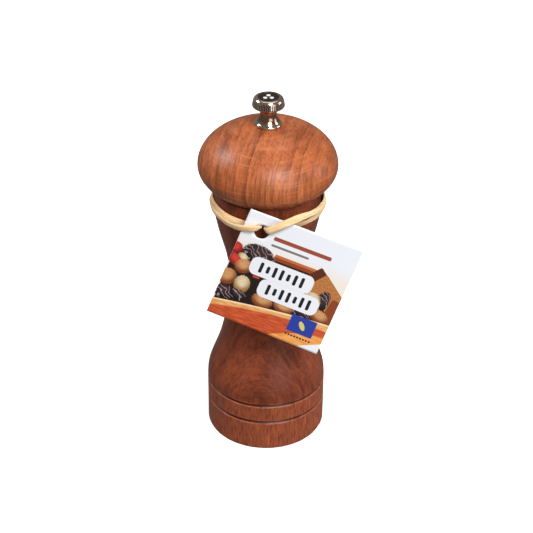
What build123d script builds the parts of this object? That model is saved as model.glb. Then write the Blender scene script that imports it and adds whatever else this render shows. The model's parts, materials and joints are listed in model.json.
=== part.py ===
"""Wooden pepper mill: turned body and head, square shaft, steel burrs, chrome nut and a card tag on raffia.

Units are millimetres. +Z is up, the origin is the centre of the foot, and the tag hangs in front, at -Y.
"""
from build123d import *
import os
from math import acos, cos, degrees, pi, radians, sin, tan

# Outside of the turned wood
BASE_RADIUS = 27.3
FOOT_EASE = 0.8
WAIST_RADIUS = 16.8
WAIST_HEIGHT = 73.0
NECK_RADIUS = 23.5
BODY_TOP = 125.0
TOP_EASE = 0.5
GROOVE_HEIGHTS = (15.2, 24.5)
GROOVE_HALF_WIDTH = 0.85
GROOVE_DEPTH = 1.0
GROOVE_LIP = 0.45
HEAD_RADIUS = 30.35
HEAD_WIDEST = 135.3
HEAD_CROWN_RISE = 18.9
HEAD_UNDER_DROP = 15.7
HEAD_FLAT_RADIUS = 7.0

# Bores in the body, from the foot up
RECESS_RADIUS = 20.5
RECESS_TOP = 8.0
SEAT_RADIUS = 14.0
SEAT_TOP = 21.5
HOPPER_RADIUS = 12.0
SOCKET_RADIUS = 15.5
SOCKET_FLOOR = 114.0

# Head's spigot and bore
SPIGOT_CLEARANCE = 0.1
SPIGOT_BOTTOM = 114.2
PLATE_RECESS_RADIUS = 12.4
PLATE_RECESS_TOP = 116.5
HEAD_BORE_RADIUS = 4.2

# Shaft
SHAFT_SIDE = 5.5
SHAFT_SQUARE_BOTTOM = 10.5
SHAFT_SQUARE_TOP = 151.0
JOURNAL_RADIUS = 2.0
JOURNAL_BOTTOM = 4.4
THREAD_RADIUS = 2.5
THREAD_DEPTH = 0.4
THREAD_PITCH = 0.8
THREAD_TOP = 162.2
RUNNING_CLEARANCE = 0.06

# Burrs
STATOR_BOTTOM = RECESS_TOP
STATOR_TOP = 20.0
STATOR_MOUTH_RADIUS = 9.2
STATOR_SKIRT_RADIUS = 12.3
ROTOR_BOTTOM = SHAFT_SQUARE_BOTTOM
ROTOR_TOP = 18.0
ROTOR_CROWN_RADIUS = 7.0
ROTOR_SKIRT_RADIUS = 11.1
SPRING_POCKET_RADIUS = 5.3
SPRING_POCKET_FLOOR = 14.5
COARSE_TEETH = 8
FINE_TEETH = 32

# Guide, washer, spring and clip
GUIDE_THICKNESS = 1.5
GUIDE_BRIDGE_WIDTH = 9.5
WASHER_THICKNESS = 0.6
WASHER_RADIUS = 5.2
SPRING_WIRE_RADIUS = 0.35
SPRING_RADIUS = 4.6
SPRING_TURNS = 4
CLIP_THICKNESS = 0.6
CLIP_GROOVE_RADIUS = 1.5
CLIP_RADIUS = 4.3

# Bridge bar and its screws
BAR_LENGTH = 38.0
BAR_WIDTH = 8.0
BAR_THICKNESS = 2.0
BAR_SCREW_REACH = 16.9
BAR_SCREW_RADIUS = 1.2
BAR_SCREW_TOP = 18.0
SCREW_HEAD_RADIUS = 2.6
SCREW_HEAD_HEIGHT = 1.6

# Drive plate and its screws
PLATE_RADIUS = 12.2
PLATE_THICKNESS = 1.2
PLATE_SCREW_REACH = 8.2
PLATE_SCREW_RADIUS = 1.0
PLATE_SCREW_TOP = 124.0
PLATE_SCREW_HEAD_RADIUS = 1.9
PLATE_SCREW_HEAD_HEIGHT = 0.9

# Knob
KNOB_FOOT_RADIUS = 5.95
KNOB_NECK_RADIUS = 3.55
KNOB_BUTTON_RADIUS = 6.95
KNOB_TOP = 166.6
KNOB_BORE_TOP = 163.3
KNOB_DISH_RADIUS = 4.5
KNOB_DISH_DEPTH = 0.6
KNURLS = 52
KNURL_WIDTH = 0.5
INSERT_THICKNESS = 0.45
MARK_DOTS = 3
MARK_DOT_RADIUS = 0.85
MARK_DOT_REACH = 1.6
MARK_THICKNESS = 0.12

# Card tag, hung by a hole in its upper left corner
CARD_WIDTH = 51.0
CARD_HEIGHT = 51.0
CARD_THICKNESS = 0.5
CARD_HOLE_RADIUS = 3.15
CARD_HOLE_INSET = 8.4
CARD_HOLE_CENTRE = (-2.3, -30.0, 118.7)
CARD_YAW = -2.0
CARD_LEAN = -6.5
CARD_TURN = 21.6

# Raffia, twice round the neck and through the tag's hole
CORD_DIAMETER = 1.9
LOOP_RADIUS = 25.6
LOW_TURN = 116.2
HIGH_TURN = 118.6
KNOT_CENTRE = (0.0, 26.6, 115.6)
KNOT_HALF_LENGTH = 2.4
KNOT_RADIUS = 2.2
TAIL_RADIUS = 0.7


def turned(*edges):
    """A solid of revolution about Z. The edges close an outline drawn as (radius, height)."""
    return revolve(Plane.XZ * make_face(Wire(edges)), Axis.Z)


def turned_outline(*points):
    """A turned solid with straight sides."""
    return turned(*Polyline(*points, close=True).edges())


def upright(radius, bottom, top, x=0.0):
    """A round bar along Z."""
    return Pos(x, 0, (bottom + top) / 2) * Cylinder(radius, top - bottom)


def square_bar(side, bottom, top):
    return Pos(0, 0, (bottom + top) / 2) * Box(side, side, top - bottom)


def grooves_round(count, radius_low, radius_high, low, high, width, slant):
    """Vee grooves spaced round a cone, from its low end to its high end, leaning by slant degrees."""
    middle = ((radius_low + radius_high) / 2, 0, (low + high) / 2)
    cone = degrees(acos((high - low) / ((high - low) ** 2 + (radius_low - radius_high) ** 2) ** 0.5))
    side = width / 2**0.5
    bar = Rot(Y=-cone) * Rot(X=slant) * Rot(Z=45) * Box(side, side, 2.0 * (high - low))
    return [Rot(Z=360 * i / count) * Pos(middle) * bar for i in range(count)]


def groove_points(height):
    return [
        (BASE_RADIUS, height - GROOVE_HALF_WIDTH),
        (BASE_RADIUS - GROOVE_DEPTH, height),
        (BASE_RADIUS, height + GROOVE_HALF_WIDTH),
    ]


def lower_body():
    lower, upper = GROOVE_HEIGHTS
    foot = [(RECESS_RADIUS, 0), (BASE_RADIUS - FOOT_EASE / 2, 0), (BASE_RADIUS, FOOT_EASE)]
    bulb_start = (BASE_RADIUS - 0.1, upper + 2 * GROOVE_HALF_WIDTH)
    base = Polyline(*foot, *groove_points(lower), *groove_points(upper), bulb_start)
    bell = Spline(
        bulb_start,
        (26.5, 31.5),
        (24.1, 38.4),
        (21.4, 46.2),
        (19.4, 54.5),
        (WAIST_RADIUS, WAIST_HEIGHT),
        (18.5, 92.5),
        (21.8, 105.0),
        (NECK_RADIUS - 0.1, 112.5),
        (NECK_RADIUS - 0.1, BODY_TOP - TOP_EASE),
        tangents=[(0, 1), (0, 1)],
    )
    inside = Polyline(
        bell @ 1,
        (NECK_RADIUS - 0.1 - TOP_EASE, BODY_TOP),
        (SOCKET_RADIUS, BODY_TOP),
        (SOCKET_RADIUS, SOCKET_FLOOR),
        (HOPPER_RADIUS, SOCKET_FLOOR),
        (HOPPER_RADIUS, SEAT_TOP),
        (SEAT_RADIUS, SEAT_TOP),
        (SEAT_RADIUS, RECESS_TOP),
        (RECESS_RADIUS, RECESS_TOP),
        (RECESS_RADIUS, 0),
    )
    face = make_face(Wire([*base.edges(), bell, *inside.edges()]))
    lips = [v for v in face.vertices() if is_groove_lip(v)]
    body = revolve(Plane.XZ * fillet(lips, GROOVE_LIP), Axis.Z)
    for side in (-1, 1):
        body -= upright(BAR_SCREW_RADIUS, RECESS_TOP, BAR_SCREW_TOP, side * BAR_SCREW_REACH)
    return body


def is_groove_lip(vertex):
    """True for the outline's corners where a groove meets the base's side."""
    on_side = abs(vertex.X - BASE_RADIUS) < 1e-6
    return on_side and any(
        abs(abs(vertex.Y - height) - GROOVE_HALF_WIDTH) < 1e-6 for height in GROOVE_HEIGHTS
    )


def stator_ring():
    ring = turned_outline(
        (STATOR_SKIRT_RADIUS, STATOR_BOTTOM),
        (SEAT_RADIUS, STATOR_BOTTOM),
        (SEAT_RADIUS, STATOR_TOP),
        (STATOR_MOUTH_RADIUS, STATOR_TOP),
    )
    middle = (STATOR_BOTTOM + STATOR_TOP) / 2
    slope = (STATOR_SKIRT_RADIUS - STATOR_MOUTH_RADIUS) / (STATOR_TOP - STATOR_BOTTOM)
    half_radius = STATOR_SKIRT_RADIUS - slope * (middle - STATOR_BOTTOM)
    ring -= grooves_round(
        FINE_TEETH, STATOR_SKIRT_RADIUS, half_radius, STATOR_BOTTOM, middle, 0.9, -18
    )
    ring -= grooves_round(
        COARSE_TEETH, half_radius, STATOR_MOUTH_RADIUS, middle, STATOR_TOP, 2.4, -18
    )
    return ring


def rotor():
    cone = turned_outline(
        (0, ROTOR_BOTTOM),
        (ROTOR_SKIRT_RADIUS, ROTOR_BOTTOM),
        (ROTOR_CROWN_RADIUS, ROTOR_TOP),
        (0, ROTOR_TOP),
    )
    middle = (ROTOR_BOTTOM + ROTOR_TOP) / 2
    half_radius = (ROTOR_SKIRT_RADIUS + ROTOR_CROWN_RADIUS) / 2
    cone -= grooves_round(
        FINE_TEETH, ROTOR_SKIRT_RADIUS, half_radius, ROTOR_BOTTOM, middle, 0.9, 24
    )
    cone -= grooves_round(
        COARSE_TEETH, half_radius, ROTOR_CROWN_RADIUS, middle, ROTOR_TOP, 1.8, 24
    )
    cone -= upright(SPRING_POCKET_RADIUS, SPRING_POCKET_FLOOR, ROTOR_TOP)
    return cone - square_bar(SHAFT_SIDE, ROTOR_BOTTOM, ROTOR_TOP)


def shaft_guide():
    """A stamped ring with a bridge across it that centres the shaft above the burrs."""
    top = STATOR_TOP + GUIDE_THICKNESS
    rim = upright(SEAT_RADIUS, STATOR_TOP, top) - upright(HOPPER_RADIUS - 1.0, STATOR_TOP, top)
    bridge = Pos(0, 0, (STATOR_TOP + top) / 2) * Box(2 * SEAT_RADIUS, GUIDE_BRIDGE_WIDTH, GUIDE_THICKNESS)
    bridge &= upright(SEAT_RADIUS, STATOR_TOP, top)
    corner_radius = SHAFT_SIDE / 2**0.5
    return rim + bridge - upright(corner_radius + RUNNING_CLEARANCE, STATOR_TOP, top)


def thrust_washer():
    bottom = STATOR_TOP - WASHER_THICKNESS
    corner_radius = SHAFT_SIDE / 2**0.5
    hole = upright(corner_radius + 0.1, bottom, STATOR_TOP)
    return upright(WASHER_RADIUS, bottom, STATOR_TOP) - hole


def spring():
    """A coil spring with ends ground flat, between the rotor's pocket and the washer."""
    bottom = SPRING_POCKET_FLOOR
    top = STATOR_TOP - WASHER_THICKNESS
    length = top - bottom
    helix = Helix(pitch=length / SPRING_TURNS, height=length, radius=SPRING_RADIUS)
    section = Plane(origin=helix @ 0, z_dir=helix % 0) * Circle(SPRING_WIRE_RADIUS)
    coil = sweep(section, helix, is_frenet=True)
    return (Pos(0, 0, bottom) * coil) & upright(2 * SPRING_RADIUS, bottom, top)


def rotor_clip():
    """An open retaining ring in the journal's groove, under the rotor."""
    bottom = ROTOR_BOTTOM - CLIP_THICKNESS
    ring = upright(CLIP_RADIUS, bottom, ROTOR_BOTTOM) - upright(CLIP_GROOVE_RADIUS, bottom, ROTOR_BOTTOM)
    mouth = Box(2 * CLIP_RADIUS, 1.6 * CLIP_GROOVE_RADIUS, CLIP_THICKNESS)
    return ring - Pos(CLIP_RADIUS, 0, bottom + CLIP_THICKNESS / 2) * mouth


def shaft():
    bar = square_bar(SHAFT_SIDE, SHAFT_SQUARE_BOTTOM, SHAFT_SQUARE_TOP)
    bar = chamfer(bar.edges().group_by(Axis.Z)[-1], 0.6)
    journal = upright(JOURNAL_RADIUS, JOURNAL_BOTTOM, SHAFT_SQUARE_BOTTOM)
    clip_seat = ROTOR_BOTTOM - CLIP_THICKNESS
    journal -= upright(JOURNAL_RADIUS, clip_seat, ROTOR_BOTTOM)
    journal += upright(CLIP_GROOVE_RADIUS, clip_seat, ROTOR_BOTTOM)
    return bar + journal + threaded_end()


def threaded_end():
    """The shaft's thread, as rings of its pitch."""
    rings = int((THREAD_TOP - SHAFT_SQUARE_TOP) / THREAD_PITCH)
    root = THREAD_RADIUS - THREAD_DEPTH
    points = [(0, SHAFT_SQUARE_TOP), (root, SHAFT_SQUARE_TOP)]
    for i in range(rings):
        start = SHAFT_SQUARE_TOP + i * THREAD_PITCH
        points += [(THREAD_RADIUS, start + THREAD_PITCH / 2), (root, start + THREAD_PITCH)]
    return turned_outline(*points, (0, SHAFT_SQUARE_TOP + rings * THREAD_PITCH))


def bridge_bar():
    bar = extrude(SlotOverall(BAR_LENGTH, BAR_WIDTH), BAR_THICKNESS)
    bar = Pos(0, 0, RECESS_TOP - BAR_THICKNESS) * bar
    for x, radius in (
        (0, JOURNAL_RADIUS + RUNNING_CLEARANCE),
        (-BAR_SCREW_REACH, BAR_SCREW_RADIUS),
        (BAR_SCREW_REACH, BAR_SCREW_RADIUS),
    ):
        bar -= upright(radius, RECESS_TOP - BAR_THICKNESS, RECESS_TOP, x)
    return bar


def pan_screw(head_radius, head_height, shank_radius, seat, tip, x):
    """A slotted pan-head screw whose head hangs below its seat."""
    head = fillet(
        upright(head_radius, seat - head_height, seat, x).edges().group_by(Axis.Z)[0],
        0.45 * head_height,
    )
    slot = Pos(x, 0, seat - head_height) * Box(2 * head_radius, 0.25 * head_radius, 0.7 * head_height)
    return head - slot + upright(shank_radius, seat, tip, x)


def screw_pair(reach, **sizes):
    return Compound(children=[pan_screw(x=side * reach, **sizes) for side in (-1, 1)])


def bridge_screws():
    return screw_pair(
        BAR_SCREW_REACH,
        head_radius=SCREW_HEAD_RADIUS,
        head_height=SCREW_HEAD_HEIGHT,
        shank_radius=BAR_SCREW_RADIUS,
        seat=RECESS_TOP - BAR_THICKNESS,
        tip=BAR_SCREW_TOP,
    )


def drive_plate_screws():
    return screw_pair(
        PLATE_SCREW_REACH,
        head_radius=PLATE_SCREW_HEAD_RADIUS,
        head_height=PLATE_SCREW_HEAD_HEIGHT,
        shank_radius=PLATE_SCREW_RADIUS,
        seat=PLATE_RECESS_TOP - PLATE_THICKNESS,
        tip=PLATE_SCREW_TOP,
    )


def drive_plate():
    bottom = PLATE_RECESS_TOP - PLATE_THICKNESS
    plate = upright(PLATE_RADIUS, bottom, PLATE_RECESS_TOP)
    plate -= square_bar(SHAFT_SIDE + 2 * RUNNING_CLEARANCE, bottom, PLATE_RECESS_TOP)
    for side in (-1, 1):
        plate -= upright(PLATE_SCREW_RADIUS, bottom, PLATE_RECESS_TOP, side * PLATE_SCREW_REACH)
    return plate


def head_flat_height():
    """The height of the small flat on the crown, where the knob sits."""
    return HEAD_WIDEST + HEAD_CROWN_RISE * sin(acos(HEAD_FLAT_RADIUS / HEAD_RADIUS))


def head():
    centre = (0, HEAD_WIDEST)
    rim_angle = -degrees(acos((1 - ((HEAD_WIDEST - BODY_TOP) / HEAD_UNDER_DROP) ** 2) ** 0.5))
    crown_angle = degrees(acos(HEAD_FLAT_RADIUS / HEAD_RADIUS))
    under = EllipticalCenterArc(centre, HEAD_RADIUS, HEAD_UNDER_DROP, rim_angle, arc_size=-rim_angle)
    crown = EllipticalCenterArc(centre, HEAD_RADIUS, HEAD_CROWN_RISE, 0, arc_size=crown_angle)
    spigot = SOCKET_RADIUS - SPIGOT_CLEARANCE
    inside = Polyline(
        crown @ 1,
        (HEAD_BORE_RADIUS, head_flat_height()),
        (HEAD_BORE_RADIUS, PLATE_RECESS_TOP),
        (PLATE_RECESS_RADIUS, PLATE_RECESS_TOP),
        (PLATE_RECESS_RADIUS, SPIGOT_BOTTOM),
        (spigot - 0.6, SPIGOT_BOTTOM),
        (spigot, SPIGOT_BOTTOM + 0.6),
        (spigot, BODY_TOP),
        under @ 0,
    )
    wood = turned(under, crown, *inside.edges())
    for side in (-1, 1):
        x = side * PLATE_SCREW_REACH
        wood -= upright(PLATE_SCREW_RADIUS, PLATE_RECESS_TOP, PLATE_SCREW_TOP, x)
    return wood


def knob_nut():
    seat = head_flat_height()
    foot = Spline(
        (KNOB_FOOT_RADIUS - 0.4, seat),
        (KNOB_FOOT_RADIUS, seat + 0.6),
        (KNOB_FOOT_RADIUS - 0.35, seat + 1.3),
    )
    flare = Spline(
        foot @ 1,
        (4.75, seat + 2.2),
        (4.1, seat + 3.1),
        (3.7, seat + 4.3),
        (KNOB_NECK_RADIUS, seat + 5.6),
        (KNOB_NECK_RADIUS + 0.15, seat + 6.8),
        tangents=[(-1, 0.4), (0.25, 1)],
    )
    underside = Spline(
        flare @ 1,
        (4.6, seat + 7.7),
        (6.3, seat + 8.4),
        (KNOB_BUTTON_RADIUS, seat + 9.4),
        tangents=[(0.25, 1), (0, 1)],
    )
    knurl_side = Line(underside @ 1, (KNOB_BUTTON_RADIUS - 0.35, seat + 11.3))
    dome = Spline(
        knurl_side @ 1,
        (6.1, seat + 12.4),
        (KNOB_DISH_RADIUS + 0.5, KNOB_TOP),
        tangents=[(-0.17, 1), (-1, 0)],
    )
    bore = THREAD_RADIUS + RUNNING_CLEARANCE
    inside = Polyline(
        dome @ 1,
        (KNOB_DISH_RADIUS, KNOB_TOP),
        (KNOB_DISH_RADIUS, KNOB_TOP - KNOB_DISH_DEPTH),
        (0, KNOB_TOP - KNOB_DISH_DEPTH),
        (0, KNOB_BORE_TOP),
        (bore, KNOB_BORE_TOP),
        (bore, seat + 0.5),
        (bore + 0.5, seat),
        foot @ 0,
    )
    nut = turned(foot, flare, underside, knurl_side, dome, *inside.edges())
    (low_radius, _, low), (high_radius, _, high) = [
        (p.X, 0, p.Y) for p in (knurl_side @ 0, knurl_side @ 1)
    ]
    nut -= grooves_round(KNURLS, low_radius, high_radius, low, high, KNURL_WIDTH, 0)
    return nut


def knob_insert():
    floor = KNOB_TOP - KNOB_DISH_DEPTH
    return upright(KNOB_DISH_RADIUS - 0.05, floor, floor + INSERT_THICKNESS)


def knob_mark():
    """Three raised dots, like peppercorns."""
    bottom = KNOB_TOP - KNOB_DISH_DEPTH + INSERT_THICKNESS
    dot = upright(MARK_DOT_RADIUS, bottom, bottom + MARK_THICKNESS, MARK_DOT_REACH)
    return Compound(children=[Rot(Z=90 + 360 * i / MARK_DOTS) * dot for i in range(MARK_DOTS)])


def card_place():
    """The tag's own frame: origin at the hole, X along its top edge, Z up its side."""
    return Pos(CARD_HOLE_CENTRE) * Rot(Z=CARD_YAW) * Rot(X=CARD_LEAN) * Rot(Y=CARD_TURN)


def tag_card():
    x = CARD_WIDTH / 2 - CARD_HOLE_INSET
    z = CARD_HOLE_INSET - CARD_HEIGHT / 2
    card = Pos(x, 0, z) * Box(CARD_WIDTH, CARD_THICKNESS, CARD_HEIGHT)
    hole = Rot(X=90) * Cylinder(CARD_HOLE_RADIUS, 2 * CARD_THICKNESS)
    return card_place() * (card - hole)


def turn_points(height, start, stop, count):
    """Points of one stretch round the neck, from one azimuth to another, in degrees from +X."""
    angles = [radians(start + (stop - start) * i / (count - 1)) for i in range(count)]
    return [(LOOP_RADIUS * cos(a), LOOP_RADIUS * sin(a), height) for a in angles]


def raffia_route():
    """From the knot round the left, twice through the tag's hole, and back to the knot."""
    return [
        (-KNOT_HALF_LENGTH, 26.6, 115.6),
        (-7.2, 26.6, 115.6),
        *turn_points(LOW_TURN, 124, 180, 3),
        (-24.9, -9.4, 116.1),
        (-23.0, -17.4, 116.2),
        (-19.6, -24.8, 117.0),
        (-14.0, -30.6, 118.6),
        (-8.4, -32.2, 119.8),
        (-4.5, -32.2, 120.2),
        (-3.1, -29.9, 119.7),
        (-4.5, -27.5, 119.4),
        (-8.0, -25.4, 119.0),
        (-13.6, -22.3, 118.6),
        *turn_points(HIGH_TURN, 212, 2, 8),
        (24.2, -10.0, 118.4),
        (21.6, -18.4, 119.6),
        (18.0, -26.2, 122.2),
        (12.6, -31.6, 123.4),
        (7.4, -32.9, 122.2),
        (3.2, -32.7, 120.6),
        (0.3, -32.2, 119.6),
        (-1.0, -29.9, 119.1),
        (0.3, -27.5, 118.8),
        (3.8, -25.8, 118.0),
        (9.8, -23.8, 116.9),
        (17.0, -19.3, 116.2),
        *turn_points(LOW_TURN, -24, 58, 4),
        (7.2, 26.6, 115.6),
        (KNOT_HALF_LENGTH, 26.6, 115.6),
    ]


def corner_radii(points):
    """The arc at each inner point: 0.45 of the shorter run beside it, over the tangent of half the turn."""
    steps = [Vector(b) - Vector(a) for a, b in zip(points, points[1:])]
    return [
        0.45 * min(a.length, b.length) / tan(radians(a.get_angle(b) / 2)) for a, b in zip(steps, steps[1:])
    ]


def raffia_loop():
    points = raffia_route()
    radii = corner_radii(points)
    path = FilletPolyline(*points, radius=radii)
    section = Plane(origin=path @ 0, z_dir=path % 0) * Circle(CORD_DIAMETER / 2)
    tube = sweep(section, path)
    print("raffia length", round(path.length, 1), "smallest arc", round(min(radii), 2))
    print("raffia arcs", [round(r, 1) for r in radii])
    expected = pi * CORD_DIAMETER**2 / 4 * path.length
    print("tube volume", round(tube.volume, 2), "expected", round(expected, 2))
    return tube


def raffia_knot():
    """The knot at the back, a barrel along X whose flat ends meet the loop, and its two tails."""
    end_radius = CORD_DIAMETER / 2 + 0.1
    side = ThreePointArc((-KNOT_HALF_LENGTH, end_radius), (0, KNOT_RADIUS), (KNOT_HALF_LENGTH, end_radius))
    closing = Polyline(side @ 1, (KNOT_HALF_LENGTH, 0), (-KNOT_HALF_LENGTH, 0), side @ 0)
    knot = Pos(KNOT_CENTRE) * revolve(make_face(Wire([side, *closing.edges()])), Axis.X)
    for side_sign, spread, drop in ((-1, 5.5, 13.0), (1, 3.5, 15.5)):
        start = Vector(KNOT_CENTRE) + Vector(side_sign * 0.9, 0.6, -1.0)
        bend = start + Vector(side_sign * spread * 0.6, 2.2, -drop * 0.4)
        tip = start + Vector(side_sign * spread, 2.0, -drop)
        path = FilletPolyline(start, bend, tip, radius=6.0)
        knot += sweep(Plane(origin=path @ 0, z_dir=path % 0) * Circle(TAIL_RADIUS), path)
    return knot


NODES = (
    lower_body,
    stator_ring,
    shaft_guide,
    thrust_washer,
    spring,
    rotor,
    rotor_clip,
    shaft,
    bridge_bar,
    bridge_screws,
    head,
    drive_plate,
    drive_plate_screws,
    knob_nut,
    knob_insert,
    knob_mark,
    tag_card,
    raffia_loop,
    raffia_knot,
)

os.makedirs("parts", exist_ok=True)
for make in NODES:
    export_step(make(), f"parts/{make.__name__}.step")
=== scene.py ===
"""Pepper mill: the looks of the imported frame, in metres. Turned wood, chrome knob, card tag on raffia."""
import json
import math

import bmesh
import bpy
from mathutils import Matrix, Vector, noise


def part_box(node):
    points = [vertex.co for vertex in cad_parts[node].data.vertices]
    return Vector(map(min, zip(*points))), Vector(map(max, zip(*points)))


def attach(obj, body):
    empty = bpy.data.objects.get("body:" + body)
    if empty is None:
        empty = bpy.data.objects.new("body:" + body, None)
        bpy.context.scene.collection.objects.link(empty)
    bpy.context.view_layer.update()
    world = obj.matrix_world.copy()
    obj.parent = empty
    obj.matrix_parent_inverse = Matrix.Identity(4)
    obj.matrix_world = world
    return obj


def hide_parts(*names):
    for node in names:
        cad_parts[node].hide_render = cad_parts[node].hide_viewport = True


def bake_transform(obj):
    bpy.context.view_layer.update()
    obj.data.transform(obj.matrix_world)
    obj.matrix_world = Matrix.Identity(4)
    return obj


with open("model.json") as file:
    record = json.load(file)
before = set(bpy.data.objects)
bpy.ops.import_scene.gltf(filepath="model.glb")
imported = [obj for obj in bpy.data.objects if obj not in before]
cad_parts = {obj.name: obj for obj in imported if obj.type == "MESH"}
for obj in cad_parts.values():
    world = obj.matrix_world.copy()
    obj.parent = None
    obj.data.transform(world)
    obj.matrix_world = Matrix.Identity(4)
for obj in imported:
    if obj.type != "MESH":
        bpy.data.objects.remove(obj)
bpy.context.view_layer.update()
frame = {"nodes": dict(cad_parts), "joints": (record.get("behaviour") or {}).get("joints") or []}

MM = 0.001

# Camera
CAMERA_ELEVATION = math.radians(32.12)
CAMERA_DISTANCE = 0.6305
CAMERA_AIM = Vector((-0.0002, 0, 0.0828))
CAMERA_ROLL = math.radians(0.52)
CAMERA_LENS = 94.7

# Raffia, one strand twice round the neck. The turns' radius and heights are in millimetres.
LOOP_RADIUS = 25.1
LOW_TURN = 116.4
HIGH_TURN = 119.0
RIBBON_WIDTH = 3.0 * MM
RIBBON_THICKNESS = 1.1 * MM
RIBBON_SIDES = 24
CREASE_DEPTH = 0.3
CREASES_ROUND = 3.6
CREASES_ALONG = 60

# Knot: distance behind the axis, drop below the box's top, and its wraps' number, radius, length and steps
KNOT_BACK = 26.6 * MM
KNOT_DROP = 2.2 * MM
KNOT_WRAPS = 2.5
KNOT_RADIUS = 1.45 * MM
KNOT_LENGTH = 3.4 * MM
KNOT_STEPS = 60

# Card tag, turned about its normal. Counted from the hole, twist and curl bend it forward, per metre, and
# yaw and pitch are the slopes that tilt it.
CARD_WIDTH = 51.0 * MM
CARD_HEIGHT = 51.0 * MM
CARD_INSET = 8.1 * MM
CARD_HOLE_RADIUS = 3.15 * MM
CARD_THICKNESS = 0.4 * MM
CARD_TURN = math.radians(21.35)
CARD_TWIST = 1.45
CARD_CURL = 0.53
CARD_YAW = 0.02
CARD_PITCH = 0.017
CARD_CELL = 0.85 * MM
HOLE_SIDES = 64

# Heights of the lower body's two grooves
GROOVES = (15.2 * MM, 24.5 * MM)

# Heights between which the knob is knurled, and its radius and inward lean there
KNOB_KNURLS = (163.1 * MM, 165.0 * MM)
KNOB_RADIUS = 6.95 * MM
KNOB_LEAN = 0.184

# Stage
STAGE_MIDDLE = Vector((0, 0, 0.09))
FLOOR_REACH = 3
WORLD_STRENGTH = 0.2


def srgb(red, green, blue):
    """An opaque linear colour from 0 to 255 display values."""
    linear = []
    for value in (red, green, blue):
        share = value / 255
        linear.append(share / 12.92 if share <= 0.04045 else ((share + 0.055) / 1.055) ** 2.4)
    return (*linear, 1.0)


class Look:
    """A material's node tree. Each method adds one node, or a few, and returns its output."""

    def __init__(self, name, **shader):
        self.material = bpy.data.materials.new(name)
        self.material.use_nodes = True
        self.tree = self.material.node_tree
        self.shader = self.tree.nodes["Principled BSDF"]
        for socket, value in shader.items():
            self.shader.inputs[socket.replace("_", " ")].default_value = value

    def feed(self, socket, value):
        """Links an output to a socket, or sets the socket's own value."""
        if isinstance(value, bpy.types.NodeSocket):
            self.tree.links.new(value, socket)
        elif value is not None:
            socket.default_value = value

    def set(self, name, value):
        self.feed(self.shader.inputs[name], value)

    def node(self, kind, *inputs, **settings):
        made = self.tree.nodes.new("ShaderNode" + kind)
        for name, value in settings.items():
            setattr(made, name, value)
        for socket, value in zip(made.inputs, inputs):
            self.feed(socket, value)
        return made

    def place(self, kind="Object"):
        return self.node("TexCoord").outputs[kind]

    def math(self, operation, *values):
        return self.node("Math", *values, operation=operation).outputs[0]

    def vector(self, operation, *values):
        made = self.node("VectorMath", *values, operation=operation)
        return made.outputs["Value" if operation == "LENGTH" else "Vector"]

    def mapped(self, vector, move=(0, 0, 0), turn=(0, 0, 0), scale=(1, 1, 1)):
        turn = tuple(math.radians(angle) for angle in turn)
        return self.node("Mapping", vector, move, turn, scale).outputs[0]

    def noise(self, vector, scale, detail=2.0, roughness=0.5):
        made = self.node("TexNoise")
        self.feed(made.inputs["Vector"], vector)
        made.inputs["Scale"].default_value = scale
        made.inputs["Detail"].default_value = detail
        made.inputs["Roughness"].default_value = roughness
        return made.outputs["Fac"]

    def ramp(self, value, *stops):
        """Stops are (position, colour or number)."""
        made = self.node("ValToRGB", value)
        elements = made.color_ramp.elements
        elements.remove(elements[1])
        elements[0].position = 0.0
        for position, colour in stops:
            element = elements.new(position)
            element.color = colour if isinstance(colour, tuple) else (colour, colour, colour, 1)
        elements.remove(elements[0])
        return made.outputs["Color"]

    def between(self, value, low, high, start=0.0, end=1.0):
        """Maps low..high to start..end smoothly, and holds it there outside."""
        made = self.node("MapRange", value, low, high, start, end, interpolation_type="SMOOTHSTEP")
        return made.outputs[0]

    def mix(self, factor, first, second):
        """Goes from the first colour to the second. In a colour Mix they are inputs 6 and 7."""
        made = self.node("Mix", data_type="RGBA")
        self.feed(made.inputs["Factor"], factor)
        self.feed(made.inputs[6], first)
        self.feed(made.inputs[7], second)
        return made.outputs[2]

    def bump(self, height, strength, distance, normal=None):
        made = self.node("Bump")
        made.inputs["Strength"].default_value = strength
        made.inputs["Distance"].default_value = distance
        self.feed(made.inputs["Height"], height)
        self.feed(made.inputs["Normal"], normal)
        return made.outputs[0]


# ---------------------------------------------------------------- wood

# Colours, the log's turn in degrees, the pith's distance and the rings' spacing in metres, and the strength
# of the dark, pale and turning lines
WOOD = {
    "head": {
        "light": srgb(190, 105, 58),
        "middle": srgb(160, 81, 43),
        "dark": srgb(96, 43, 22),
        "edge": srgb(208, 128, 80),
        "turn": 13,
        "pith": 0.24,
        "ring": 0.0042,
        "lines": 0.8,
        "pale_lines": 0.26,
        "turning": 0.42,
        "gloss": 0.34,
    },
    "body": {
        "light": srgb(146, 72, 44),
        "middle": srgb(118, 55, 34),
        "dark": srgb(66, 30, 21),
        "edge": srgb(172, 88, 52),
        "turn": 96.6,
        "pith": 0.12,
        "ring": 0.0023,
        "lines": 0.3,
        "pale_lines": 0.26,
        "turning": 0.15,
        "gloss": 0.22,
    },
}


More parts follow.
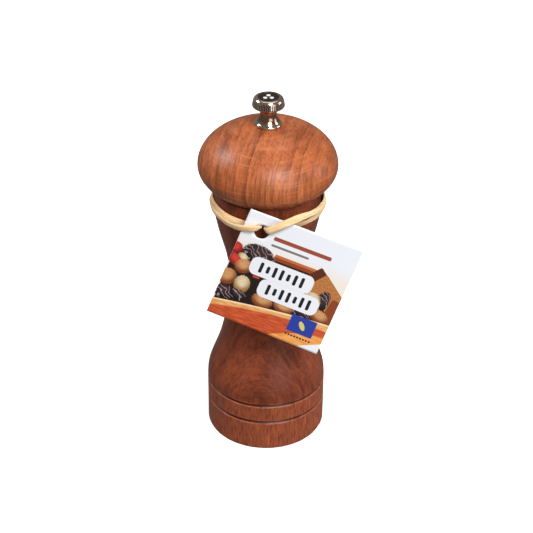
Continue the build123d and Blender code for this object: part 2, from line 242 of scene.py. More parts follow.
def ring_lines(look, log, grain):
    """Growth rings round a distant pith: a dark line where each ends, a pale one where the next starts."""
    drift = look.noise(look.mapped(log, scale=(1, 1, 0.4)), 26, detail=3)
    drift = look.math("MULTIPLY", look.math("SUBTRACT", drift, 0.5), 0.007)
    across, along, _ = look.node("SeparateXYZ", log).outputs
    across = look.math("ADD", across, drift)
    from_pith = look.node("CombineXYZ", look.math("ADD", across, grain["pith"]), along).outputs[0]
    distance = look.vector("LENGTH", from_pith)
    uneven = look.noise(look.node("CombineXYZ", distance).outputs[0], 160, detail=1)
    even = look.math("DIVIDE", distance, grain["ring"])
    count = look.math("ADD", even, look.math("MULTIPLY", uneven, 2.6))
    share = look.math("FRACT", count)
    number = look.node("CombineXYZ", look.math("FLOOR", count)).outputs[0]
    strength = look.between(look.noise(number, 7.3, detail=0), 0.32, 0.62, 0.25, 1.0)
    dark = look.ramp(share, (0.0, 0.0), (0.5, 0.08), (0.8, 0.42), (0.95, 1.0), (1.0, 0.0))
    pale = look.ramp(share, (0.0, 1.0), (0.1, 0.85), (0.3, 0.0), (0.97, 0.0), (1.0, 1.0))
    return look.math("MULTIPLY", dark, strength), look.math("MULTIPLY", pale, strength)


def turning_lines(look, place):
    """Faint marks left round Z by the lathe, here and there."""
    line = look.noise(look.mapped(place, scale=(0.04, 0.04, 1)), 1150, detail=2)
    here = look.between(look.noise(place, 60, detail=2), 0.42, 0.62, 0.25, 1.0)
    return look.math("MULTIPLY", look.between(line, 0.5, 0.68), here)


def wood(name, grain):
    """Stained wood with a dull sheen: rings, streaks and pores along Z, blotches and faint turning lines."""
    look = Look(name, Specular_IOR_Level=grain["gloss"])
    place = look.place()
    log = look.mapped(place, turn=(0, 0, grain["turn"]))
    rings, pale_rings = ring_lines(look, log, grain)
    streak = look.noise(look.mapped(log, scale=(1, 0.12, 0.05)), 620, detail=4, roughness=0.6)
    fibre = look.noise(look.mapped(log, scale=(1, 0.25, 0.05)), 2300, detail=3, roughness=0.6)
    pore = look.noise(look.mapped(log, scale=(1, 0.5, 0.13)), 2600, detail=1)
    cloud = look.noise(look.mapped(log, scale=(1, 0.6, 0.5)), 48, detail=3)
    turning = turning_lines(look, place)

    colour = look.mix(look.between(cloud, 0.32, 0.68), grain["middle"], grain["light"])
    colour = look.mix(look.math("MULTIPLY", rings, grain["lines"]), colour, grain["dark"])
    colour = look.mix(look.math("MULTIPLY", pale_rings, grain["pale_lines"]), colour, grain["edge"])
    colour = look.mix(look.between(streak, 0.5, 0.66, 0.0, 0.5), colour, grain["dark"])
    colour = look.mix(look.between(streak, 0.42, 0.28, 0.0, 0.3), colour, grain["edge"])
    colour = look.mix(look.between(fibre, 0.44, 0.64, 0.0, 0.46), colour, grain["dark"])
    colour = look.mix(look.between(pore, 0.62, 0.7, 0.0, 0.4), colour, grain["dark"])
    colour = look.mix(look.math("MULTIPLY", turning, grain["turning"]), colour, grain["edge"])
    blotch = look.noise(look.mapped(log, scale=(1, 1, 0.7)), 170, detail=3)
    colour = look.mix(look.between(blotch, 0.5, 0.68, 0.0, 0.24), colour, grain["dark"])
    colour = look.mix(look.between(blotch, 0.46, 0.32, 0.0, 0.3), colour, grain["light"])
    if name == "body_wood":
        colour = base_bands(look, colour, log)
    look.set("Base Color", colour)
    look.set("Roughness", look.between(cloud, 0.25, 0.75, 0.34, 0.44))
    relief = look.math("ADD", look.math("MULTIPLY", fibre, 0.6), look.math("MULTIPLY", pore, 0.4))
    normal = look.bump(relief, 0.16, 0.00012)
    look.set("Normal", look.bump(turning, 0.25, 0.0001, normal))
    return look.material


def base_bands(look, colour, log):
    """The base's coarser stain: short bright and dark streaks, a lighter band at the foot, grooves darkened
    by dark stain and painted shade, and pale lip patches that are part wear, part painted highlight.
    """
    height = look.node("SeparateXYZ", log).outputs[2]
    base = look.between(height, GROOVES[1] - 1 * MM, GROOVES[1] + 1 * MM, 1.0, 0.0)
    colour = look.mix(look.math("MULTIPLY", base, 0.5), colour, srgb(168, 88, 58))
    deep = look.noise(look.mapped(log, scale=(1, 1, 0.14)), 1700, detail=4)
    deep = look.math("MULTIPLY", look.between(deep, 0.5, 0.62), base)
    colour = look.mix(look.math("MULTIPLY", deep, 0.5), colour, srgb(66, 32, 26))
    dash = look.noise(look.mapped(log, move=(0.3, 0, 0), scale=(1, 1, 0.1)), 1100, detail=3)
    bright = look.math("MULTIPLY", look.between(dash, 0.6, 0.7), base)
    colour = look.mix(look.math("MULTIPLY", bright, 0.7), colour, srgb(188, 96, 50))
    foot = look.between(height, 0.2 * MM, 1.4 * MM, 0.6, 0.0)
    colour = look.mix(foot, colour, srgb(158, 74, 42))
    wear_and_highlight = look.between(look.noise(log, 330, detail=3), 0.44, 0.6)
    for groove in GROOVES:
        depth = look.math("ABSOLUTE", look.math("SUBTRACT", height, groove))
        # Pale patches on each groove's lip: part wear, part painted highlight of the key light.
        rim = look.math("MULTIPLY", look.between(depth, 0.9 * MM, 1.5 * MM, 0.5, 0.0), wear_and_highlight)
        colour = look.mix(rim, colour, srgb(182, 104, 72))
        # Inside each groove the colour goes nearly black: part dark stain, part painted shade.
        dark_stain_and_shade = look.between(depth, 0.35 * MM, 0.75 * MM, 0.9, 0.0)
        colour = look.mix(dark_stain_and_shade, colour, srgb(34, 13, 8))
    return colour


# ---------------------------------------------------------------- metals and plastic


def polished_chrome():
    """Bright plating with warm smudges; brown round the neck, a painted reflection of the wood; dark brown in
    the gaps of the knurls.
    """
    look = Look("knob_chrome", Metallic=1.0)
    place = look.place()
    across, along, height = look.node("SeparateXYZ", place).outputs
    radius = look.vector("LENGTH", look.node("CombineXYZ", across, along).outputs[0])
    smudge = look.noise(place, 260, detail=4)
    tone = look.mix(look.between(smudge, 0.35, 0.7), srgb(226, 208, 192), srgb(186, 156, 134))
    # Brown round the neck below the dish: a painted reflection of the wood.
    neck = look.between(radius, 4.2 * MM, 5.4 * MM, 0.75, 0.0)
    below_dish = look.between(height, KNOB_KNURLS[1], KNOB_KNURLS[1] + 0.3 * MM, 1.0, 0.0)
    tone = look.mix(look.math("MULTIPLY", neck, below_dish), tone, srgb(140, 92, 68))
    side = look.between(height, KNOB_KNURLS[0] - 0.5 * MM, KNOB_KNURLS[0])
    climbed = look.math("SUBTRACT", height, KNOB_KNURLS[0])
    reach = look.math("MULTIPLY_ADD", climbed, KNOB_LEAN, radius)
    gap = look.between(reach, KNOB_RADIUS - 0.25 * MM, KNOB_RADIUS - 0.06 * MM, 0.92, 0.15)
    in_gap = look.math("MULTIPLY", look.math("MULTIPLY", gap, side), below_dish)
    tone = look.mix(in_gap, tone, srgb(58, 42, 34))
    look.set("Base Color", tone)
    look.set("Roughness", look.between(smudge, 0.35, 0.7, 0.08, 0.2))
    look.set("Normal", look.bump(look.noise(place, 900, detail=2), 0.03, 0.00005))
    return look.material


def turned_steel(name, colour, rough):
    """Bare steel with faint scratches round Z and a few duller patches."""
    look = Look(name, Metallic=1.0)
    place = look.place()
    scratch = look.noise(look.mapped(place, scale=(1, 1, 9)), 1400, detail=3)
    patch = look.noise(place, 150, detail=3)
    dull = tuple(0.62 * part for part in colour[:3]) + (1,)
    look.set("Base Color", look.mix(look.between(patch, 0.4, 0.75, 0.0, 0.7), colour, dull))
    look.set("Roughness", look.between(scratch, 0.3, 0.7, rough - 0.08, rough + 0.12))
    look.set("Normal", look.bump(scratch, 0.15, 0.00004))
    return look.material


def drawn_bar():
    """Square bar with drawing lines along Z."""
    look = Look("shaft_bar", Metallic=1.0)
    place = look.place()
    line = look.noise(look.mapped(place, scale=(1, 1, 0.01)), 2600, detail=3)
    look.set("Base Color", look.mix(line, srgb(176, 178, 182), srgb(206, 208, 210)))
    look.set("Roughness", look.between(line, 0.3, 0.7, 0.24, 0.4))
    look.set("Normal", look.bump(line, 0.2, 0.00004))
    return look.material


def black_disc():
    look = Look("insert_black", Specular_IOR_Level=0.2)
    grain = look.noise(look.place(), 1500, detail=2)
    look.set("Base Color", look.mix(grain, srgb(22, 16, 14), srgb(46, 32, 26)))
    look.set("Roughness", look.between(grain, 0.3, 0.7, 0.3, 0.44))
    return look.material


def white_print():
    look = Look("mark_white")
    grain = look.noise(look.place(), 2500, detail=2)
    look.set("Base Color", look.mix(grain, srgb(216, 214, 208), srgb(240, 239, 235)))
    look.set("Roughness", look.between(grain, 0.3, 0.7, 0.4, 0.6))
    return look.material


# ---------------------------------------------------------------- raffia


def dry_raffia():
    """Straw-coloured fibre: U runs round a strand, V along it in metres."""
    look = Look("raffia", Sheen_Weight=0.15, Specular_IOR_Level=0.3)
    along = look.mapped(look.place("UV"), scale=(9, 55, 1))
    fibre = look.noise(along, 1.6, detail=4, roughness=0.65)
    stain = look.noise(look.mapped(look.place("UV"), scale=(1.5, 130, 1)), 1.0, detail=2)
    tones = ((0.3, srgb(214, 160, 106)), (0.46, srgb(244, 202, 148)), (0.64, srgb(254, 232, 190)))
    colour = look.ramp(fibre, *tones)
    colour = look.mix(look.between(stain, 0.4, 0.72, 0.0, 0.35), colour, srgb(228, 176, 120))
    look.set("Base Color", colour)
    look.set("Roughness", look.between(fibre, 0.3, 0.7, 0.75, 0.5))
    look.set("Normal", look.bump(fibre, 0.5, 0.0002))
    return look.material


def turn_points(height, start, stop, count):
    """Points of one stretch round the neck, from one azimuth to another, in degrees from +X."""
    angles = [math.radians(start + (stop - start) * i / (count - 1)) for i in range(count)]
    return [(LOOP_RADIUS * math.cos(angle), LOOP_RADIUS * math.sin(angle), height) for angle in angles]


def raffia_route():
    """From the knot round the left, twice through the tag's hole, and back to the knot, in millimetres."""
    return [
        (-2.4, 26.6, 115.6),
        (-7.2, 26.6, 115.6),
        *turn_points(LOW_TURN, 124, 180, 3),
        (-23.4, -8.8, 116.6),
        (-19.9, -16.2, 117.1),
        (-16.6, -22.6, 118.2),
        (-13.0, -28.6, 119.9),
        (-9.2, -31.9, 121.3),
        (-5.0, -32.4, 121.7),
        (-3.1, -29.9, 120.3),
        (-4.5, -27.2, 119.6),
        (-8.2, -24.8, 119.1),
        (-14.4, -21.1, 118.9),
        *turn_points(HIGH_TURN, 218, 8, 8),
        (24.8, -8.6, 120.5),
        (22.0, -17.4, 122.4),
        (17.6, -25.2, 124.5),
        (12.0, -30.8, 125.4),
        (7.0, -32.9, 124.0),
        (2.6, -32.6, 121.7),
        (0.2, -32.0, 120.2),
        (-1.0, -29.9, 119.4),
        (0.3, -27.3, 118.9),
        (4.4, -25.4, 118.2),
        (10.4, -22.8, 117.4),
        (16.8, -18.6, 116.8),
        *turn_points(LOW_TURN, -22, 58, 4),
        (7.2, 26.6, 115.6),
        (2.4, 26.6, 115.6),
    ]


def smooth_line(name, points, fineness):
    """Points along a NURBS spline with these control points, in metres."""
    data = bpy.data.curves.new(name, "CURVE")
    data.dimensions = "3D"
    data.resolution_u = fineness
    spline = data.splines.new("NURBS")
    spline.points.add(len(points) - 1)
    for point, position in zip(spline.points, points):
        point.co = (*position, 1)
    spline.order_u = 3
    spline.use_endpoint_u = True
    holder = bpy.data.objects.new(name, data)
    mesh = bpy.data.meshes.new_from_object(holder)
    line = [vertex.co.copy() for vertex in mesh.vertices]
    bpy.data.objects.remove(holder)
    bpy.data.curves.remove(data)
    bpy.data.meshes.remove(mesh)
    return line


def ribbon(mesh, line, width, thickness, seed, twist, taper=0.0):
    """Adds a creased strand along a line. It lies flat round Z, turned by twist(distance along it).

    The seed sets its unevenness. A taper above 0 narrows its last 40% by that share.
    """
    uv = mesh.loops.layers.uv.verify()
    total = sum((b - a).length for a, b in zip(line, line[1:]))
    side = Vector((0, 0, 1))
    rows = []
    travelled = 0.0
    for i, here in enumerate(line):
        if i:
            travelled += (here - line[i - 1]).length
        ahead = (line[min(i + 1, len(line) - 1)] - line[max(i - 1, 0)]).normalized()
        flat_side = ahead.cross(Vector((here.x, here.y, 0)).normalized())
        if flat_side.dot(side) < 0:
            flat_side.negate()
        side = side.lerp(flat_side, 0.25 * flat_side.length)
        side = (side - ahead * side.dot(ahead)).normalized()
        up = ahead.cross(side)
        turn = twist(travelled) + 0.45 * noise.noise(Vector((travelled * 70, seed, 0)))
        swell = 1 + 0.16 * noise.noise(Vector((travelled * 120, seed + 7, 0)))
        narrow = 1 - taper * max(0.0, travelled / total - 0.6) / 0.4
        across = side * math.cos(turn) + up * math.sin(turn)
        outward = up * math.cos(turn) - side * math.sin(turn)
        row = []
        for k in range(RIBBON_SIDES):
            angle = math.tau * k / RIBBON_SIDES
            across_noise, up_noise = CREASES_ROUND * math.cos(angle), CREASES_ROUND * math.sin(angle)
            crease = noise.noise(Vector((across_noise, up_noise, travelled * CREASES_ALONG + seed)))
            reach = swell * narrow * (1 + CREASE_DEPTH * crease)
            flat = 0.5 * width * reach * math.copysign(abs(math.cos(angle)) ** 0.8, math.cos(angle))
            thick = 0.5 * thickness * reach * math.sin(angle)
            row.append(mesh.verts.new(here + across * flat + outward * thick))
        rows.append((row, travelled))
    for (first, start), (second, stop) in zip(rows, rows[1:]):
        for k in range(RIBBON_SIDES):
            after = (k + 1) % RIBBON_SIDES
            face = mesh.faces.new((first[k], first[after], second[after], second[k]))
            face.smooth = True
            corners = ((k, start), (k + 1, start), (k + 1, stop), (k, stop))
            for corner, (step, distance) in zip(face.loops, corners):
                corner[uv].uv = (step / RIBBON_SIDES, distance)
    for row, _ in (rows[0], rows[-1]):
        mesh.faces.new(row)


def finished(name, mesh, *materials):
    """Turns a bmesh into an object with its materials, normals outwards."""
    bmesh.ops.recalc_face_normals(mesh, faces=mesh.faces)
    data = bpy.data.meshes.new(name)
    mesh.to_mesh(data)
    mesh.free()
    for material in materials:
        data.materials.append(material)
    made = bpy.data.objects.new(name, data)
    bpy.context.scene.collection.objects.link(made)
    return made


def make_raffia_loop(material):
    """The strand, and the line it follows."""
    line = smooth_line("raffia_line", [Vector(point) * MM for point in raffia_route()], 12)
    mesh = bmesh.new()
    ribbon(mesh, line, RIBBON_WIDTH, RIBBON_THICKNESS, 1.0, lambda distance: 0.2)
    return finished("raffia_strand", mesh, material), line


def make_raffia_knot(material):
    """Two and a half wraps round the strand's ends, and two tails."""
    centre = (Vector(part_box("raffia_knot")[0]) + Vector(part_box("raffia_knot")[1])) / 2
    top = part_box("raffia_knot")[1].z - KNOT_DROP
    middle = Vector((centre.x, KNOT_BACK, top))
    mesh = bmesh.new()
    wraps = []
    for i in range(KNOT_STEPS + 1):
        share = i / KNOT_STEPS
        angle = math.tau * KNOT_WRAPS * share + 0.6
        forward, up = KNOT_RADIUS * math.cos(angle), KNOT_RADIUS * math.sin(angle)
        wraps.append(middle + Vector((KNOT_LENGTH * (share - 0.5), forward, up)))
    ribbon(mesh, wraps, 1.5 * MM, 0.8 * MM, 4.0, lambda distance: 0.0)
    core = [middle + Vector((x * MM, 0, 0)) for x in (-2.5, -1, 1, 2.5)]
    ribbon(mesh, core, 1.9 * MM, 1.2 * MM, 5.0, lambda distance: 0.0)
    for sign, spread, drop in ((-1, 5.5, 13.0), (1, 3.5, 15.5)):
        start = middle + Vector((sign * 0.9, 0.6, -0.6)) * MM
        points = [
            start,
            start + Vector((sign * spread * 0.3, 1.9, -0.15 * drop)) * MM,
            start + Vector((sign * spread * 0.6, 2.6, -0.45 * drop)) * MM,
            start + Vector((sign * spread, 2.0, -drop)) * MM,
        ]
        tail = smooth_line("tail_line", points, 14)
        ribbon(mesh, tail, 1.9 * MM, 0.7 * MM, 6.0 + sign, lambda distance: 0.8 + 90 * distance, taper=0.75)
    return finished("raffia_wraps", mesh, material)


# ---------------------------------------------------------------- card tag

# Things lying in the crate on the tag's picture: kind, middle and size in mm from the card's lower left, turn
PRODUCE = (
    ("dark", 11.0, 32.6, 14.5, 9.0, -8),
    ("red", 0.6, 32.4, 6.0, 5.4, 20),
    ("cream", 5.0, 29.0, 5.0, 4.0, -30),
    ("red", 2.0, 27.2, 8.0, 4.6, -28),
    ("peach", 6.8, 25.4, 7.6, 6.6, 15),
    ("peach", 2.2, 18.6, 8.0, 7.6, 30),
    ("cream", 9.2, 17.5, 7.0, 8.0, 10),
    ("dark", 3.4, 11.4, 9.0, 6.4, 4),
    ("dark", 9.4, 12.2, 7.6, 4.8, -12),
    ("peach", 20.0, 13.6, 9.4, 6.4, -4),
    ("peach", 29.4, 14.2, 9.0, 5.0, -4),
    ("dark", 37.6, 15.0, 8.0, 4.6, -4),
    ("dark", 43.8, 22.8, 6.0, 10.5, -10),
    ("cream", 39.2, 21.0, 8.6, 9.4, 0),
    ("peach", 45.2, 16.2, 8.4, 5.6, -14),
)
PRODUCE_TONES = {
    "dark": (srgb(54, 38, 40), srgb(16, 10, 12)),
    "red": (srgb(208, 66, 56), srgb(140, 24, 22)),
    "cream": (srgb(228, 214, 176), srgb(150, 108, 60)),
    "peach": (srgb(214, 160, 106), srgb(122, 60, 28)),
}
PAPER = srgb(226, 228, 234)
INK = srgb(24, 22, 24)
LABEL_BARS = 7


class Picture(Look):
    """A printed page: shapes laid one over another. The page's UV is in millimetres from its lower left."""

    def __init__(self, name, **shader):
        super().__init__(name, **shader)
        self.page = self.place("UV")
        self.colour = PAPER

    def local(self, x, y, turn=0.0, width=2.0, height=2.0):
        """Page coordinates about a shape's middle, in units of its half width and half height."""
        spot = self.mapped(self.page, (x, y, 0), (0, 0, turn), (width / 2, height / 2, 1))
        spot.node.vector_type = "TEXTURE"
        return spot

    def lay(self, mask, colour):
        self.colour = self.mix(mask, self.colour, colour)

    def below(self, line, soft=0.15):
        """A mask of what lies under a line, given as the height above it."""
        return self.between(line, -soft, soft, 1.0, 0.0)

    def plate(self, x, y, width, height, radius, colour, turn=0.0):
        """A rounded rectangle."""
        spot = self.vector("ABSOLUTE", self.local(x, y, turn))
        spot = self.vector("SUBTRACT", spot, (width / 2 - radius, height / 2 - radius, 0))
        past = self.vector("MAXIMUM", spot, (0, 0, 0))
        reach = self.vector("LENGTH", self.vector("MULTIPLY", past, (1, 1, 0)))
        self.lay(self.between(reach, radius - 0.08, radius + 0.08, 1.0, 0.0), colour)

    def dot(self, x, y, width, height, colour, turn=0.0):
        """An ellipse."""
        reach = self.vector("LENGTH", self.local(x, y, turn, width, height))
        self.lay(self.between(reach, 0.92, 1.02, 1.0, 0.0), colour)


def height_above(picture, base, slope, bend, start=0.0):
    """Page height above the line base + slope x + bend x squared, x counted from start."""
    across, up, _ = picture.node("SeparateXYZ", picture.page).outputs
    across = picture.math("SUBTRACT", across, start)
    line = picture.math("MULTIPLY_ADD", across, picture.math("MULTIPLY_ADD", across, bend, slope), base)
    return picture.math("SUBTRACT", up, line)


def draw_crate_back(picture, speckle):
    up = picture.node("SeparateXYZ", picture.page).outputs[1]
    picture.lay(picture.between(up, 32.0, 41.0, 0.6, 0.0), srgb(232, 214, 184))
    picture.plate(22.0, 19.5, 43.0, 27.0, 1.2, srgb(30, 18, 16))
    picture.plate(28.2, 34.2, 21.6, 2.6, 0.4, srgb(140, 62, 26))
    picture.plate(28.2, 35.1, 21.6, 1.2, 0.3, srgb(186, 104, 54))
    picture.plate(13.6, 22.8, 3.0, 1.0, 0.4, srgb(196, 60, 34))
    picture.plate(44.5, 17.5, 13.0, 13.0, 1.0, srgb(70, 32, 18))
    wall = picture.mix(speckle, srgb(190, 128, 70), srgb(140, 72, 30))
    picture.plate(43.0, 28.6, 19.0, 8.0, 0.8, srgb(86, 38, 18), -37)
    picture.plate(45.2, 26.2, 17.5, 9.6, 0.8, wall, -37)
    picture.plate(49.4, 20.0, 5.0, 11.0, 1.0, srgb(132, 62, 28), -8)


def draw_produce(picture, speckle):
    veins = picture.node("TexWave", wave_type="BANDS", bands_direction="DIAGONAL")
    picture.feed(veins.inputs["Vector"], picture.page)
    for socket, value in (("Scale", 0.22), ("Distortion", 14.0), ("Detail", 2.0), ("Detail Scale", 0.9)):
        veins.inputs[socket].default_value = value
    pale_lines = picture.between(veins.outputs["Fac"], 0.84, 0.98, 0.0, 0.75)
    for kind, x, y, width, height, turn in PRODUCE:
        light, shade = PRODUCE_TONES[kind]
        spot = picture.local(x, y, turn, width, height)
        reach = picture.vector("LENGTH", spot)
        rough_edge = picture.math("ADD", reach, picture.math("MULTIPLY", speckle, 0.14))
        above = picture.node("SeparateXYZ", spot).outputs[1]
        lit = picture.math("SUBTRACT", reach, picture.math("MULTIPLY", above, 0.55))
        colour = picture.mix(picture.between(lit, 0.1, 1.15), light, shade)
        if kind == "dark":
            colour = picture.mix(pale_lines, colour, srgb(176, 150, 152))
        else:
            colour = picture.mix(picture.math("MULTIPLY", speckle, 0.55), colour, shade)
        picture.lay(picture.between(rough_edge, 1.0, 1.09, 1.0, 0.0), colour)


def draw_crate_front(picture, grain):
    board = picture.mix(grain, srgb(208, 95, 52), srgb(164, 56, 28))
    edge = picture.mix(grain, srgb(232, 182, 120), srgb(204, 132, 66))
    lower = picture.mix(grain, srgb(232, 176, 104), srgb(222, 124, 44))
    picture.lay(picture.below(height_above(picture, 7.0, 0.2, -0.0012)), srgb(246, 218, 168))
    picture.lay(picture.below(height_above(picture, 6.4, 0.2, -0.0012), 0.4), edge)
    picture.lay(picture.below(height_above(picture, 3.8, 0.28, -0.0028), 0.5), board)
    picture.lay(picture.below(height_above(picture, -0.6, 0.6, -0.0105, 26.5), 0.3), lower)
    picture.lay(picture.below(height_above(picture, 0.0, 0.5, 0.0, 41.2), 0.2), PAPER)


def draw_labels(picture):
    """Two blank white labels with rows of bold bars where words would stand."""
    for x, y, wide in ((23.3, 27.8, 28.4), (29.7, 19.4, 27.4)):
        picture.plate(x, y, wide, 8.4, 3.0, srgb(226, 227, 232))
        first = x - 1.55 * (LABEL_BARS - 1)
        for i in range(LABEL_BARS):
            tall = 4.9 if i % 3 != 1 else 3.3
            picture.plate(first + 3.1 * i, y - 0.1, 1.45, tall, 0.6, INK)


def draw_ornament(picture):
    """Two plain rules in the white band, a plain blue stamp with a pale seed, and a row of dashes."""
    picture.plate(27.0, 42.2, 26.0, 1.8, 0.5, srgb(150, 70, 52))
    picture.plate(22.5, 39.0, 17.0, 1.0, 0.4, srgb(120, 112, 104))
    picture.plate(40.2, 9.4, 11.6, 7.8, 0.2, srgb(38, 58, 148))
    picture.dot(40.2, 9.4, 2.2, 4.6, srgb(206, 190, 110), 40)
    for i in range(9):
        picture.plate(35.0 + 1.35 * i, 3.8, 0.9, 0.75, 0.25, INK)


def printed_face():
    """Coated card with a picture of produce in a crate."""
    picture = Picture("card_print", Coat_Weight=0.05, Coat_Roughness=0.3, Specular_IOR_Level=0.3)
    fine = picture.noise(picture.page, 2.1, detail=4, roughness=0.65)
    speckle = picture.between(fine, 0.4, 0.66)
    grain = picture.noise(picture.mapped(picture.page, turn=(0, 0, 8), scale=(0.12, 1.3, 1)), 1.6, detail=4)
    draw_crate_back(picture, speckle)
    draw_produce(picture, speckle)
    draw_crate_front(picture, picture.between(grain, 0.3, 0.7))
    draw_labels(picture)
    draw_ornament(picture)
    picture.set("Base Color", picture.colour)
    picture.set("Roughness", picture.between(fine, 0.3, 0.7, 0.38, 0.46))
    picture.set("Normal", picture.bump(fine, 0.04, 0.00003))
    return picture.material


def plain_card(name, tone):
    look = Look(name)
    fibre = look.noise(look.place(), 1800, detail=4)
    look.set("Base Color", look.mix(fibre, tone, srgb(246, 245, 242)))
    look.set("Roughness", look.between(fibre, 0.3, 0.7, 0.6, 0.75))
    look.set("Normal", look.bump(fibre, 0.1, 0.00004))
    return look.material


def card_axes():
    """The tag's hole centre, its right and up directions, and its normal, which points to the mill."""
    hinge = next(joint for joint in frame["joints"] if joint["name"] == "tag_swing")
    normal = Vector(hinge["axis"]).normalized()
    right = normal.cross(Vector((0, 0, 1))).normalized()
    up = right.cross(normal)
    turn = Matrix.Rotation(CARD_TURN, 3, normal)
    return Vector(hinge["pos_m"]), turn @ right, turn @ up, normal


def flat_card():
    """The card's front face, flat, with its round hole. X and Y are counted from the hole's centre."""
    mesh = bmesh.new()
    columns, rows = round(CARD_WIDTH / CARD_CELL), round(CARD_HEIGHT / CARD_CELL)
    grid = [
        [
            mesh.verts.new((CARD_WIDTH * i / columns - CARD_INSET, CARD_INSET - CARD_HEIGHT * j / rows, 0))
            for j in range(rows + 1)
        ]
        for i in range(columns + 1)
    ]
    for i in range(columns):
        for j in range(rows):
            mesh.faces.new((grid[i][j], grid[i][j + 1], grid[i + 1][j + 1], grid[i + 1][j]))
    clear = CARD_HOLE_RADIUS + 0.6 * CARD_CELL
    near = [vertex for vertex in mesh.verts if max(abs(vertex.co.x), abs(vertex.co.y)) < clear]
    bmesh.ops.delete(mesh, geom=near, context="VERTS")
    reach = CARD_HOLE_RADIUS + 2.2 * CARD_CELL
    inner = [
        edge
        for edge in mesh.edges
        if edge.is_boundary and max(abs(part) for vertex in edge.verts for part in vertex.co) < reach
    ]
    angles = [math.tau * k / HOLE_SIDES for k in range(HOLE_SIDES)]
    rim = [
        mesh.verts.new((CARD_HOLE_RADIUS * math.cos(angle), CARD_HOLE_RADIUS * math.sin(angle), 0))
        for angle in angles
    ]
    circle = [mesh.edges.new((rim[k], rim[(k + 1) % HOLE_SIDES])) for k in range(HOLE_SIDES)]
    bmesh.ops.triangle_fill(mesh, edges=inner + circle, use_beauty=True)
    return mesh


def make_card(*materials):
    """The tag, bent and tilted a little so that its lower right corner comes forward.

    The materials are its print, its back and its edge.
    """
    hole, right, up, normal = card_axes()
    mesh = flat_card()
    uv = mesh.loops.layers.uv.verify()
    for face in mesh.faces:
        for corner in face.loops:
            x, y, _ = corner.vert.co
            corner[uv].uv = ((x + CARD_INSET) / MM, (y + CARD_HEIGHT - CARD_INSET) / MM)
    for vertex in mesh.verts:
        x, y, _ = vertex.co
        forward = -CARD_TWIST * x * y + CARD_CURL * y * y - CARD_YAW * x - CARD_PITCH * y
        vertex.co = hole + right * x + up * y - normal * forward
    made = finished("card", mesh, *materials)
    outward = sum((polygon.normal.dot(normal) for polygon in made.data.polygons), 0.0)
    if outward > 0:
        made.data.flip_normals()
    for polygon in made.data.polygons:
        polygon.use_smooth = True
    body = made.modifiers.new("thickness", "SOLIDIFY")
    body.thickness = CARD_THICKNESS
    body.offset = 0
    body.use_even_offset = True
    body.material_offset = 1
    body.material_offset_rim = 2
    return made


# ---------------------------------------------------------------- the frame's own nodes


def dress(material, *nodes):
    """Gives these CAD nodes the material, in every slot they have."""
    for name in nodes:
        piece = frame["nodes"][name]
        if not piece.material_slots:
            piece.data.materials.append(material)
        for holder in piece.material_slots:
            holder.material = material


def dress_frame():
    dress(wood("head_wood", WOOD["head"]), "head")
    dress(wood("body_wood", WOOD["body"]), "lower_body")
    dress(polished_chrome(), "knob_nut")
    dress(black_disc(), "knob_insert")
    dress(white_print(), "knob_mark")
    dress(turned_steel("burr_steel", srgb(120, 118, 114), 0.42), "stator_ring", "rotor")
    zinc = turned_steel("zinc_steel", srgb(186, 188, 190), 0.34)
    dress(zinc, "shaft_guide", "thrust_washer", "drive_plate")
    dress(turned_steel("bar_steel", srgb(178, 180, 180), 0.3), "bridge_bar")
    dress(turned_steel("spring_steel", srgb(150, 150, 152), 0.3), "spring", "rotor_clip")
    dress(turned_steel("screw_steel", srgb(196, 192, 178), 0.32), "bridge_screws", "drive_plate_screws")
    dress(drawn_bar(), "shaft")


def make_spring():
    """A copy of the spring, between the washer and the rotor."""
    node = frame["nodes"]["spring"]
    made = bpy.data.objects.new("spring_coil", node.data.copy())
    made.matrix_world = node.matrix_world.copy()
    bpy.context.scene.collection.objects.link(made)
    return made


# ---------------------------------------------------------------- stage


def softbox(name, place, aim, width, height, power):
    data = bpy.data.lights.new(name, "AREA")
    data.shape = "RECTANGLE"
    data.size = width
    data.size_y = height
    data.energy = power
    made = bpy.data.objects.new(name, data)
    made.location = place
    made.rotation_euler = (Vector(aim) - Vector(place)).to_track_quat("-Z", "Y").to_euler()
    bpy.context.scene.collection.objects.link(made)


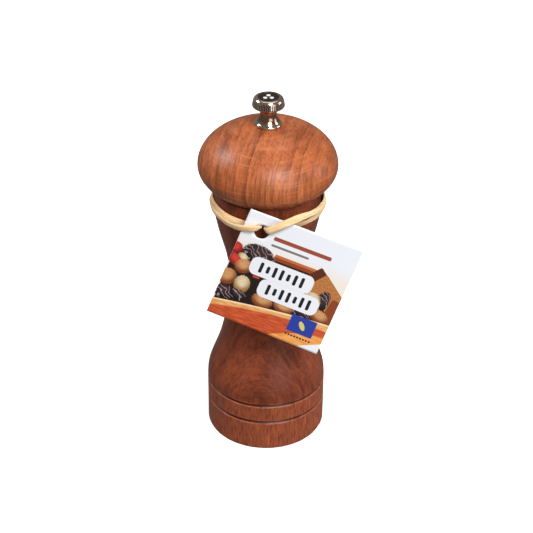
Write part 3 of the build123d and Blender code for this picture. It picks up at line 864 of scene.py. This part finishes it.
def light_stage():
    """Softboxes by compass bearing from the camera's side, elevation, distance, size and power."""
    for name, bearing, elevation, distance, width, height, power in (
        ("key", 22, 46, 1.5, 0.5, 0.5, 21),
        ("left", -108, 42, 1.4, 0.42, 0.34, 9.5),
        ("right", 92, 16, 1.3, 0.5, 0.8, 4.0),
        ("top", 170, 66, 1.6, 1.0, 0.7, 4),
        ("fill", 30, 10, 1.8, 1.3, 0.9, 9),
    ):
        turn = math.radians(bearing)
        rise = math.radians(elevation)
        away = Vector((math.cos(rise) * math.sin(turn), -math.cos(rise) * math.cos(turn), math.sin(rise)))
        softbox(name, STAGE_MIDDLE + distance * away, STAGE_MIDDLE, width, height, power)
    world = bpy.data.worlds.new("studio")
    bpy.context.scene.world = world
    world.use_nodes = True
    back = world.node_tree.nodes["Background"]
    back.inputs["Color"].default_value = (1, 1, 1, 1)
    back.inputs["Strength"].default_value = WORLD_STRENGTH
    bpy.context.scene.view_settings.view_transform = "Standard"


def make_floor():
    """A nearly white floor. Diffuse and glossy rays don't see it, so it doesn't light the wood from below."""
    data = bpy.data.meshes.new("floor")
    corners = [(FLOOR_REACH * x, FLOOR_REACH * y, 0) for x, y in ((-1, -1), (1, -1), (1, 1), (-1, 1))]
    data.from_pydata(corners, [], [(0, 1, 2, 3)])
    floor = bpy.data.objects.new("floor", data)
    bpy.context.scene.collection.objects.link(floor)
    look = Look("floor_paint", Roughness=0.7, Emission_Color=(1, 1, 1, 1), Emission_Strength=0.5)
    tone = look.noise(look.place(), 3, detail=2)
    look.set("Base Color", look.mix(tone, srgb(246, 246, 246), srgb(251, 251, 251)))
    data.materials.append(look.material)
    floor.visible_diffuse = False
    floor.visible_glossy = False


def make_camera():
    data = bpy.data.cameras.new("camera")
    data.lens = CAMERA_LENS
    data.clip_start = 0.01
    camera = bpy.data.objects.new("camera", data)
    back = Vector((0, -math.cos(CAMERA_ELEVATION), math.sin(CAMERA_ELEVATION)))
    spot = Matrix.Translation(CAMERA_AIM + CAMERA_DISTANCE * back)
    look_at = back.to_track_quat("Z", "Y").to_matrix().to_4x4()
    camera.matrix_world = spot @ look_at @ Matrix.Rotation(CAMERA_ROLL, 4, "Z")
    bpy.context.scene.collection.objects.link(camera)
    bpy.context.scene.camera = camera


make_camera()
make_floor()
light_stage()
dress_frame()

raffia = dry_raffia()
loop, loop_line = make_raffia_loop(raffia)
knot = make_raffia_knot(raffia)
card = make_card(
    printed_face(),
    plain_card("card_back", srgb(232, 230, 226)),
    plain_card("card_edge", srgb(240, 239, 236)),
)
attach(loop, "tag_loop")
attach(knot, "tag_loop")
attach(card, "tag")
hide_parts("raffia_loop")
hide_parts("raffia_knot")
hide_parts("tag_card")

coil = make_spring()
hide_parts("spring")
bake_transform(coil)
